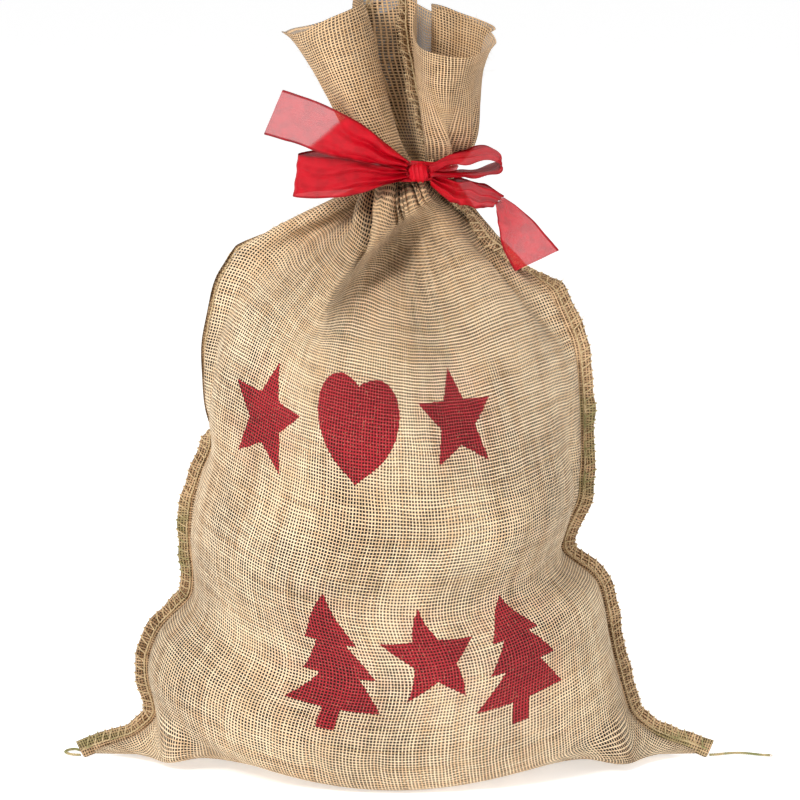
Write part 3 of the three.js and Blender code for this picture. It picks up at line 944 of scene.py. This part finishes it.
# ---- loose threads (routes as the frame has them, in millimetres) ----
RIGHT_CORNER_TAIL = [(251, 0, 1.7), (258, 2, 1.5), (266, 5, 1.4), (275, 6, 1.4), (284, 4, 1.4),
                     (292, 1, 1.4), (299, 0, 1.4)]
LEFT_CORNER_TAIL = [(-251, 0, 1.7), (-256, 1, 1.5), (-261, 4, 1.4), (-264, 9, 1.4),
                    (-262, 14, 1.4), (-257, 16, 1.4), (-253, 13, 1.4)]
MOUTH_TAIL = [(8, -9, 609), (4, -10, 614), (-2, -11, 618), (-8, -12, 620), (-13, -14, 617),
              (-17, -16, 611), (-19, -17, 604)]
STRAND_RADIUS, STRAND_OFFSET, STRAND_TURN = 0.55 * MM, 0.62 * MM, 4.2 * MM


def thread_chain(name, route, material):
    """An overlock thread chain: three strands wound round one another along the route."""
    path = resample(catmull_rom(np.array(route) * MM), 60)
    length = arc(path)
    along = unit(np.gradient(path, axis=0))
    side = unit(np.cross(along, [0, 0, 1.0]))
    up = np.cross(side, along)
    strands = []
    for k in range(3):
        angle = (length / STRAND_TURN + k / 3) * TAU
        strands.append(path + side * (np.cos(angle) * STRAND_OFFSET)[:, None]
                       + up * (np.sin(angle) * STRAND_OFFSET * 0.9)[:, None])
    chain = tubes(name, strands, STRAND_RADIUS, 6, material)
    return chain, path


def spray(name, roots, directions, lengths, radius, material, curl, floor=0.4 * MM):
    """Fine loose fibres, each a short curled tube."""
    count, steps = len(roots), 6
    t = np.linspace(0, 1, steps)[None, :, None]
    bend = unit(rng.normal(size=(count, 3))) * curl
    twist = unit(rng.normal(size=(count, 3))) * curl * 0.5
    heading = unit(directions)[:, None]
    reach = np.asarray(lengths)[:, None, None]
    paths = roots[:, None] + reach * (heading * t + bend[:, None] * t ** 2
                                      + twist[:, None] * np.sin(t * 5) * t)
    paths[..., 2] = np.maximum(paths[..., 2], floor)
    return tubes(name, paths, radius, 3, material, taper=True)


# ---- the scene ----
make_camera()
jute_thread = thread_material("jute_thread", pale=(0.72, 0.56, 0.34), dark=(0.42, 0.28, 0.13),
                              dye_strength=0.75)
corner_thread = thread_material("corner_thread", pale=(0.60, 0.47, 0.26), dark=(0.30, 0.22, 0.10),
                                dye_strength=0.9)
jute_fibre = thread_material("jute_fibre", pale=(0.70, 0.52, 0.30), dark=(0.45, 0.30, 0.14),
                             dye_strength=0.0)
right_chain, right_path = thread_chain("right_corner_chain", RIGHT_CORNER_TAIL, corner_thread)
left_chain, left_path = thread_chain("left_corner_chain", LEFT_CORNER_TAIL, corner_thread)
mouth_chain, mouth_path = thread_chain("mouth_chain", MOUTH_TAIL, jute_thread)
for chain, body, node in ((right_chain, "sack", "right_corner_thread_tail"),
                          (left_chain, "sack", "left_corner_thread_tail"),
                          (mouth_chain, "ruffle", "mouth_thread_tail")):
    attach(chain, body)
    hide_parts(node)

start, goal, flat, heights, ruffle_rings = cloth_shapes()
cloth = simulate(start, goal, flat, held_points(heights))
cloth = np.concatenate([throw_fold(cloth), ruffle_rings])
up = np.concatenate([np.linspace(0, TIE_AT, BODY_ROWS),
                     np.linspace(TIE_AT, MOUTH_AT, RUFFLE_ROWS + 1)[1:]]) * MM
around = np.arange(COLUMNS + 1) / COLUMNS * 2 * CUT_WIDTH * MM


def pattern_at(x, z):
    """Where the flat pattern lies that shows on the front at that x and height."""
    front = cloth[10:BODY_ROWS - 6, 2:RIGHT_SEAM - 1]
    gap = (front[..., 0] - x * MM) ** 2 + (front[..., 2] - z * MM) ** 2 + (front[..., 1] > 0) * 1.0
    row, column = np.unravel_index(np.argmin(gap), gap.shape)
    return around[column + 2], up[row + 10]


MOTIFS = [(star, -100, 290, 44), (heart, -27, 290, 37), (star, 46, 292, 44),
          (fir, -46, 112, 54), (star, 27, 113, 42), (fir, 100, 115, 54)]
motifs = [(shape, *pattern_at(x, z), size * MM) for shape, x, z, size in MOTIFS]
ribbon_stain = (*pattern_at(86, 400), 30 * MM)
body_cloth = hessian("hessian_body", see_through=0.0, motifs=motifs, stains=[ribbon_stain])
ruffle_cloth = hessian("hessian_ruffle", see_through=0.25)

tie_row = BODY_ROWS - 1
body = grid_object("sack_body", cloth[:tie_row + 1], around, up[:tie_row + 1], body_cloth, wrap=True)
ruffle_grid = refined(np.swapaxes(refined(cloth[tie_row - 1:], False), 0, 1), True).swapaxes(0, 1)
ruffle = grid_object("sack_ruffle", ruffle_grid, np.linspace(0, around[-1], 2 * COLUMNS + 1),
                     refined(up[tie_row - 1:], False), ruffle_cloth, wrap=True)
subdivide(body, 1)
thicken(body, CLOTH_THICKNESS)

NECK_CLEAR = 30 * MM  # the allowances are squeezed flat this far from the tie
TUCKED_FROM = 0.268  # the left allowance is tucked behind the sack above this height
NEVER_TUCKED = 9.0


def fin_width(line):
    away = np.abs(line[:, 2] - TIE[2] * MM)
    return FIN_WIDTH * np.clip(away / NECK_CLEAR, 0.12, 1) * (1 - 0.55 * ease(line[:, 2], 0.58, 0.6))


def tucked_fin_width(line):
    """The left allowance is tucked behind the sack above its notch."""
    return fin_width(line) * (1 - 0.75 * ease(line[:, 2], 0.262, 0.275))


seam_materials = {"seam": seam_cloth(), "thread": jute_thread, "fibre": jute_fibre}
below, above = np.arange(0, tie_row - 1), np.arange(tie_row + 2, len(cloth))
for name, column, rows, node, seed in (
        ("left_seam", 0, below, "left_side_seam", 1),
        ("right_seam", RIGHT_SEAM, below, "right_side_seam", 11),
        ("left_ruffle_seam", 0, above, "left_seam_above_tie", 21),
        ("right_ruffle_seam", RIGHT_SEAM, above, "right_seam_above_tie", 31)):
    tucked = name == "left_seam"
    width_at, turned_from = (tucked_fin_width, TUCKED_FROM) if tucked else (fin_width, NEVER_TUCKED)
    parts = side_seam(name, cloth, column, rows, width_at, turned_from, seam_materials, seed)
    for part in parts:
        if "ruffle" in name:
            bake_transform(part)
        else:
            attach(part, "sack")
    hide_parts(node)

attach(body, "sack")
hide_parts("sack_cloth")
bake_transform(ruffle)
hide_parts("mouth_ruffle", "neck_gather")

# ---- the bow ----
KNOT = (18.0, -37.0, 475.0)
sheer = organza("organza_sheer", 0.78, 0.78)
tail_sheer = organza("organza_tail", 0.92, 0.5, (0.074, 0.080))
tip_sheer = organza("organza_tip", 0.72, 0.62, (0.02, 0.05))
crushed = organza("organza_crushed", 0.97, 0.97)
band, knot = ribbon_band(crushed), ribbon_knot(crushed, KNOT, (7.5, 5, 7))
for piece, node in ((band, "neck_band"), (knot, "bow_knot")):
    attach(piece, "sack")
    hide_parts(node)
left_loop = ribbon(
    "ribbon_left_loop",
    [(9, -37, 474), (-8, -33, 474), (-30, -31, 475.5), (-54, -32, 476), (-70, -34, 475),
     (-75, -41, 474), (-70, -48, 473.5), (-50, -51, 473), (-26, -48, 473), (-6, -43, 473.5), (9, -38, 474)],
    [(0, 0, 4), (0, 0, 8), (0, 0, 12.5), (1, 0, 15), (2, 0, 16), (2, 0, 16), (2, 0, 16),
     (1, 0, 15), (0, 0, 12), (0, 0, 7), (0, 0, 4)],
    sheer, 2.4, (2.4, 2.0, 1.0, 0.3, 0.9, 1.8, 2.4), 3)
right_loop = ribbon(
    "ribbon_right_loop",
    [(27, -38, 478), (40, -39, 484), (56, -40, 489), (71, -40, 490), (80, -40, 485),
     (77, -40, 478.5), (62, -40, 475.5), (44, -39, 474), (27, -38, 474)],
    [(0, 5, 1), (0, 9, 2.5), (0, 13.5, 4), (0, 15.5, 4), (0, 15.5, 3), (0, 15.5, 2), (0, 13.5, 1),
     (0, 9, 0), (0, 5, 0)],
    sheer, 2.5, (2.2, 1.6, 0.9, 0.7, 0.9, 1.6, 2.2), 9)
left_tail = ribbon(
    "ribbon_left_tail",
    [(9, -40, 481), (-6, -46, 489), (-28, -54, 500), (-52, -58, 510), (-72, -59, 518), (-91, -60, 524)],
    [(1, 0, 3.5), (3, 0, 8), (5, 0, 13), (6, 0, 16), (6.6, 0, 16.5), (7.2, 0, 16.8)],
    tail_sheer, 2.2, (2.6, 2.0, 1.3, 0.9, 0.7), 5)
right_tail = ribbon(
    "ribbon_right_tail",
    [(27, -39, 470), (40, -43, 465), (56, -46, 461), (70, -47, 458.5), (79, -48, 455.5)],
    [(0, 2.5, 3.5), (0.6, 6, 6.5), (1, 9.5, 8.5), (2, 8.5, 7.5), (4, 2.5, 3.5)],
    sheer, 3.2, (3.2, 2.8, 2.2, 2.0, 2.6), 7, steps=50)
right_tip = ribbon(
    "ribbon_right_tip",
    [(79, -48, 455.5), (84, -52, 449), (90, -58, 439), (97, -64.5, 427), (107, -70, 413)],
    [(3, -1, 2.5), (8, -2, 5), (13, -1, 6.5), (15.5, 0, 7), (16.6, 0, 8)],
    tip_sheer, 1.6, (1.8, 1.2, 0.8, 0.6), 4, steps=50)
for piece, second, begin, end, node in (
        (left_loop, "left_loop", (0.010, -0.037, 0.475), (-0.012, -0.037, 0.475), "left_loop"),
        (right_loop, "right_loop", (0.026, -0.038, 0.475), (0.046, -0.038, 0.475), "right_loop"),
        (left_tail, "left_tail", (0.009, -0.040, 0.481), (-0.010, -0.045, 0.491), "left_tail"),
        (right_tail, "right_tail", (0.027, -0.039, 0.470), (0.044, -0.044, 0.464),
         "right_tail_upper")):
    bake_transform(piece)
    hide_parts(node)
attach(right_tip, "right_tail_tip")
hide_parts("right_tail_lower")

# ---- loose fibres ----
FUZZ_RADIUS, FRAY_RADIUS = 0.07 * MM, 0.16 * MM


def fuzz(name, rows, count):
    """Short jute fibres that stand off the cloth."""
    part = cloth[rows]
    row = rng.integers(0, len(part) - 1, count)
    column = rng.integers(0, COLUMNS, count)
    after = (column + 1) % COLUMNS
    a, b = rng.random((2, count, 1))
    roots = (part[row, column] * (1 - a) * (1 - b) + part[row, after] * a * (1 - b)
             + part[row + 1, column] * (1 - a) * b + part[row + 1, after] * a * b)
    along, across = part[row + 1, column] - part[row, column], part[row, after] - part[row, column]
    normal = unit(np.cross(across, along))
    heading = normal + unit(rng.normal(size=(count, 3))) * 0.9
    lengths = rng.gamma(2.2, 1.1, count) * MM
    return spray(name, roots, heading, np.clip(lengths, 1 * MM, 8 * MM), FUZZ_RADIUS, jute_fibre, 0.45)


def frayed(name, path, body_name, count, length):
    """The burst end of a thread chain."""
    end, heading = path[-1], unit(path[-1] - path[-6])
    roots = end + rng.normal(size=(count, 3)) * 0.5 * MM
    directions = heading + rng.normal(size=(count, 3)) * 0.55
    piece = spray(name, roots, directions, rng.uniform(0.4, 1, count) * length, FRAY_RADIUS,
                  jute_fibre, 0.6)
    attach(piece, body_name)


sack_fuzz = fuzz("sack_fuzz", np.arange(6, tie_row - 2), 5200)
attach(sack_fuzz, "sack")
ruffle_fuzz = fuzz("ruffle_fuzz", np.arange(tie_row + 2, len(cloth)), 1500)
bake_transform(ruffle_fuzz)
frayed("right_chain_fray", right_path, "sack", 9, 5 * MM)
frayed("left_chain_fray", left_path, "sack", 14, 7 * MM)
frayed("mouth_chain_fray", mouth_path, "ruffle", 26, 12 * MM)


# ---- floor and light ----
FLOOR_HALF = 40.0


def make_floor():
    material, tree, shader = new_material("floor_paper", Roughness=0.9)
    x, y, z = object_axes(tree)
    grain = noise(x, y, z, scale=300, detail=2)
    plug(mix(grain, (0.86, 0.86, 0.86), (0.89, 0.89, 0.89)), shader.inputs["Base Color"])
    shader.inputs["Emission Color"].default_value = (1, 1, 1, 1)
    shader.inputs["Emission Strength"].default_value = 0.5
    square("floor", FLOOR_HALF, material)


def area_light(name, place, power, size, colour=(1, 1, 1)):
    data = bpy.data.lights.new(name, "AREA")
    data.energy, data.size, data.color = power, size, colour
    light = bpy.data.objects.new(name, data)
    light.location = place
    light.rotation_euler = (Vector((0, 0, 0.28)) - light.location).to_track_quat("-Z", "Y").to_euler()
    link(light)


def make_light():
    world = bpy.data.worlds.new("studio")
    world.use_nodes = True
    backdrop = world.node_tree.nodes["Background"]
    backdrop.inputs["Color"].default_value = (1.0, 1.0, 1.0, 1)
    backdrop.inputs["Strength"].default_value = 0.55
    bpy.context.scene.world = world
    area_light("key", (-1.2, -1.6, 1.7), 42, 0.6)
    area_light("fill", (1.7, -1.3, 0.9), 9, 1.2)
    area_light("top", (0.1, 0.5, 2.2), 14, 1.2)
    bpy.context.scene.view_settings.view_transform = "Standard"


make_floor()
make_light()
